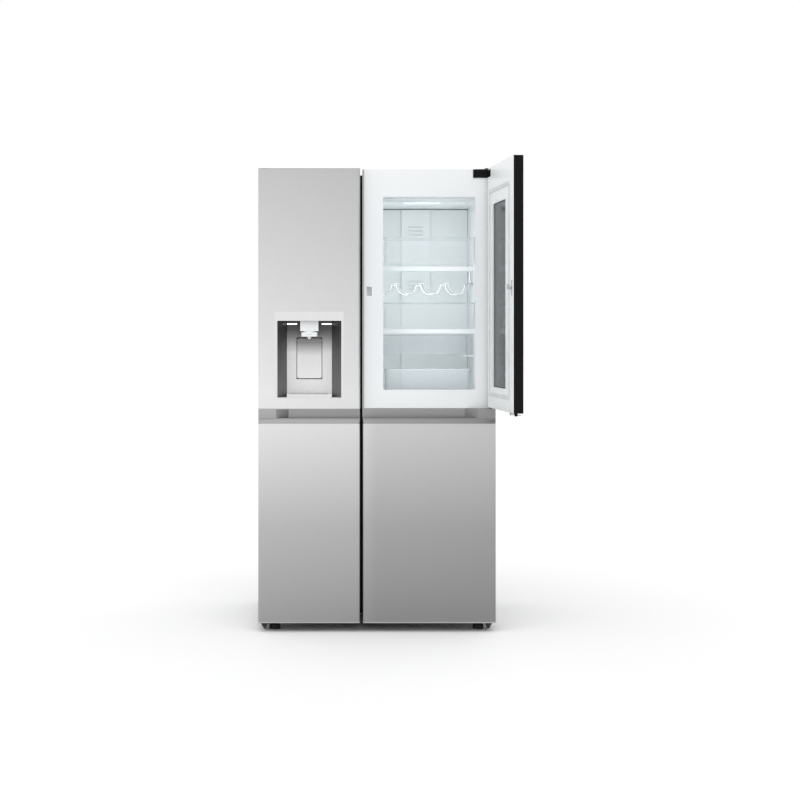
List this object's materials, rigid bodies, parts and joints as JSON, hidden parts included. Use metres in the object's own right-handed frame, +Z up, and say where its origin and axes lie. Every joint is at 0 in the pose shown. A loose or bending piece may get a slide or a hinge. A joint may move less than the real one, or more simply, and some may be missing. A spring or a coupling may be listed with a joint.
{
  "type": "side by side refrigerator",
  "caption": "Free-standing side by side refrigerator with a door-in-door on the fridge side and a water and ice dispenser in the freezer door.",
  "frame": {"origin": "on the floor under the middle of the cabinet, half way between the closed doors' fronts and the rear panel", "axes": "+Z up, -Y out of the doors, +X to the right as seen from the front, so the fridge compartment is on +X"},
  "size_m": [0.9582, 1.2368, 1.79],
  "materials": {
    "side_sheet": "satin grey paint",
    "stainless": "brushed, vertical grain",
    "liner_white": "smooth white",
    "foam": "rigid foam",
    "chassis": "satin black paint",
    "cover_grey": "fine texture",
    "machine_black": "gloss black paint",
    "motor_plastic": "matte",
    "copper": "drawn tube",
    "coil_aluminium": "mill finish",
    "duct_white": "satin",
    "hinge_steel": "zinc",
    "shelf_glass": "clear, polished edge",
    "trim_white": "smooth",
    "chrome_wire": "polished",
    "lamp_lens": "frosted",
    "clear_plastic": "clear",
    "rubber_black": "matte",
    "seal_grey": "soft",
    "handle_steel": "brushed",
    "dispenser_grey": "satin",
    "black_plastic": "gloss",
    "window_glass": "tinted, polished",
    "front_glass": "black tint, polished"
  },
  "bodies": {
    "cabinet": {"cabinet_panels": "side_sheet", "compartment_liners": "liner_white", "insulation": "foam", "base_frame": "chassis", "machine_cover": "cover_grey", "compressor": "machine_black", "condenser": "machine_black", "fan_motors": "motor_plastic", "drip_pan": "trim_white", "refrigerant_pipes": "copper", "evaporator": "coil_aluminium", "duct_covers": "duct_white", "top_covers": "cover_grey", "water_valve": "duct_white", "door_hinges": "chassis", "shelf_glass": "shelf_glass", "shelf_trims": "trim_white", "bottle_rack": "chrome_wire", "lamp_lenses": "lamp_lens", "drawer_runners": "trim_white"},
    "freezer_door": {"freezer_door_skins": "stainless", "freezer_handle": "handle_steel", "freezer_door_foam": "foam", "freezer_door_liner": "liner_white", "freezer_gasket": "seal_grey", "freezer_baskets": "clear_plastic", "dispenser_housing": "dispenser_grey", "dispenser_panel": "stainless", "ice_chute": "trim_white", "ice_maker": "cover_grey", "ice_bucket": "clear_plastic"},
    "fridge_door": {"fridge_door_skin": "stainless", "fridge_handle": "handle_steel", "door_frame": "liner_white", "fridge_door_foam": "foam", "fridge_door_liner": "liner_white", "fridge_gasket": "seal_grey", "door_baskets": "clear_plastic", "outer_door_hinges": "black_plastic"},
    "outer_door": {"outer_door_skin": "front_glass", "outer_door_frame": "black_plastic", "outer_door_liner": "liner_white", "outer_door_window": "window_glass", "outer_door_gasket": "seal_grey"},
    "freezer_drawer_upper_body": {"freezer_drawer_upper": "clear_plastic"},
    "freezer_drawer_lower_body": {"freezer_drawer_lower": "clear_plastic"},
    "snack_drawer_body": {"snack_drawer": "clear_plastic"},
    "crisper_upper_body": {"crisper_upper": "clear_plastic"},
    "crisper_lower_body": {"crisper_lower": "clear_plastic"},
    "condenser_fan_body": {"condenser_fan": "motor_plastic"},
    "evaporator_fan_body": {"evaporator_fan": "motor_plastic"},
    "rear_rollers_body": {"rear_rollers": "motor_plastic"},
    "left_foot_body": {"left_foot": "rubber_black"},
    "right_foot_body": {"right_foot": "rubber_black"},
    "dispenser_lever_body": {"dispenser_lever": "handle_steel"},
    "ice_flap_body": {"ice_flap": "motor_plastic"},
    "ice_tray_body": {"ice_tray": "trim_white"},
    "ice_auger_body": {"ice_auger": "coil_aluminium"},
    "latch_hook_body": {"latch_hook": "hinge_steel"},
    "release_lever_body": {"release_lever": "trim_white"}
  },
  "joints": [
    {"name": "freezer_door_hinge", "type": "hinge", "parent": "cabinet", "child": "freezer_door", "pos_m": [-0.434, -0.298, 0.9], "axis": [0, 0, -1], "range_deg": [0, 120]},
    {"name": "fridge_door_hinge", "type": "hinge", "parent": "cabinet", "child": "fridge_door", "pos_m": [0.434, -0.298, 0.9], "axis": [0, 0, 1], "range_deg": [0, 120]},
    {"name": "outer_door_hinge", "type": "hinge", "parent": "fridge_door", "child": "outer_door", "pos_m": [0.445, -0.351, 1.32], "axis": [0, 0, 1], "range_deg": [-94.5, 15.5]},
    {"name": "freezer_drawer_upper_slide", "type": "slide", "parent": "cabinet", "child": "freezer_drawer_upper_body", "axis": [0, -1, 0], "range_m": [0, 0.2514]},
    {"name": "freezer_drawer_lower_slide", "type": "slide", "parent": "cabinet", "child": "freezer_drawer_lower_body", "axis": [0, -1, 0], "range_m": [0, 0.2514]},
    {"name": "snack_drawer_slide", "type": "slide", "parent": "cabinet", "child": "snack_drawer_body", "axis": [0, -1, 0], "range_m": [0, 0.2514]},
    {"name": "crisper_upper_slide", "type": "slide", "parent": "cabinet", "child": "crisper_upper_body", "axis": [0, -1, 0], "range_m": [0, 0.2514]},
    {"name": "crisper_lower_slide", "type": "slide", "parent": "cabinet", "child": "crisper_lower_body", "axis": [0, -1, 0], "range_m": [0, 0.2514]},
    {"name": "condenser_fan_spin", "type": "hinge", "parent": "cabinet", "child": "condenser_fan_body", "pos_m": [-0.07, 0.262, 0.142], "axis": [1, 0, 0], "continuous": true},
    {"name": "evaporator_fan_spin", "type": "hinge", "parent": "cabinet", "child": "evaporator_fan_body", "pos_m": [-0.2395, 0.262, 0.9], "axis": [0, 1, 0], "continuous": true},
    {"name": "roller_spin", "type": "hinge", "parent": "cabinet", "child": "rear_rollers_body", "pos_m": [0.425, 0.33, 0.02], "axis": [1, 0, 0], "continuous": true},
    {"name": "left_foot_screw", "type": "hinge", "parent": "cabinet", "child": "left_foot_body", "pos_m": [-0.395, -0.283, 0.028], "axis": [0, 0, 1], "continuous": true},
    {"name": "right_foot_screw", "type": "hinge", "parent": "cabinet", "child": "right_foot_body", "pos_m": [0.395, -0.283, 0.028], "axis": [0, 0, 1], "continuous": true},
    {"name": "dispenser_lever_hinge", "type": "hinge", "parent": "freezer_door", "child": "dispenser_lever_body", "pos_m": [-0.26, -0.296, 1.122], "axis": [1, 0, 0], "range_deg": [0, 8], "stiffness_Nm_per_rad": 0.6, "springref_deg": -20.05},
    {"name": "ice_flap_hinge", "type": "hinge", "parent": "freezer_door", "child": "ice_flap_body", "pos_m": [-0.26, -0.342, 1.256], "axis": [-1, 0, 0], "range_deg": [0, 62]},
    {"name": "ice_tray_turn", "type": "hinge", "parent": "freezer_door", "child": "ice_tray_body", "pos_m": [-0.2475, -0.205, 1.575], "axis": [1, 0, 0], "range_deg": [0, 160]},
    {"name": "auger_spin", "type": "hinge", "parent": "freezer_door", "child": "ice_auger_body", "pos_m": [-0.245, -0.204, 1.312], "axis": [1, 0, 0], "continuous": true},
    {"name": "release_lever_hinge", "type": "hinge", "parent": "outer_door", "child": "release_lever_body", "pos_m": [0.47378, -0.7931, 0.857], "axis": [0.0785, -0.9969, 0], "range_deg": [0, 12], "stiffness_Nm_per_rad": 0.2, "springref_deg": -20.05},
    {"name": "latch_hook_hinge", "type": "hinge", "parent": "outer_door", "child": "latch_hook_body", "pos_m": [0.4772, -0.82393, 1.309], "axis": [0.0785, -0.9969, 0], "range_deg": [0, 12]}
  ],
  "couplings": [
    {"joint": "freezer_drawer_upper_slide", "follows": "freezer_door_hinge", "m_per_rad": 0.12},
    {"joint": "freezer_drawer_lower_slide", "follows": "freezer_door_hinge", "m_per_rad": 0.12},
    {"joint": "snack_drawer_slide", "follows": "fridge_door_hinge", "m_per_rad": 0.12},
    {"joint": "crisper_upper_slide", "follows": "fridge_door_hinge", "m_per_rad": 0.12},
    {"joint": "crisper_lower_slide", "follows": "fridge_door_hinge", "m_per_rad": 0.12},
    {"joint": "ice_flap_hinge", "follows": "dispenser_lever_hinge", "ratio": 7.5},
    {"joint": "latch_hook_hinge", "follows": "release_lever_hinge", "ratio": 1}
  ]
}
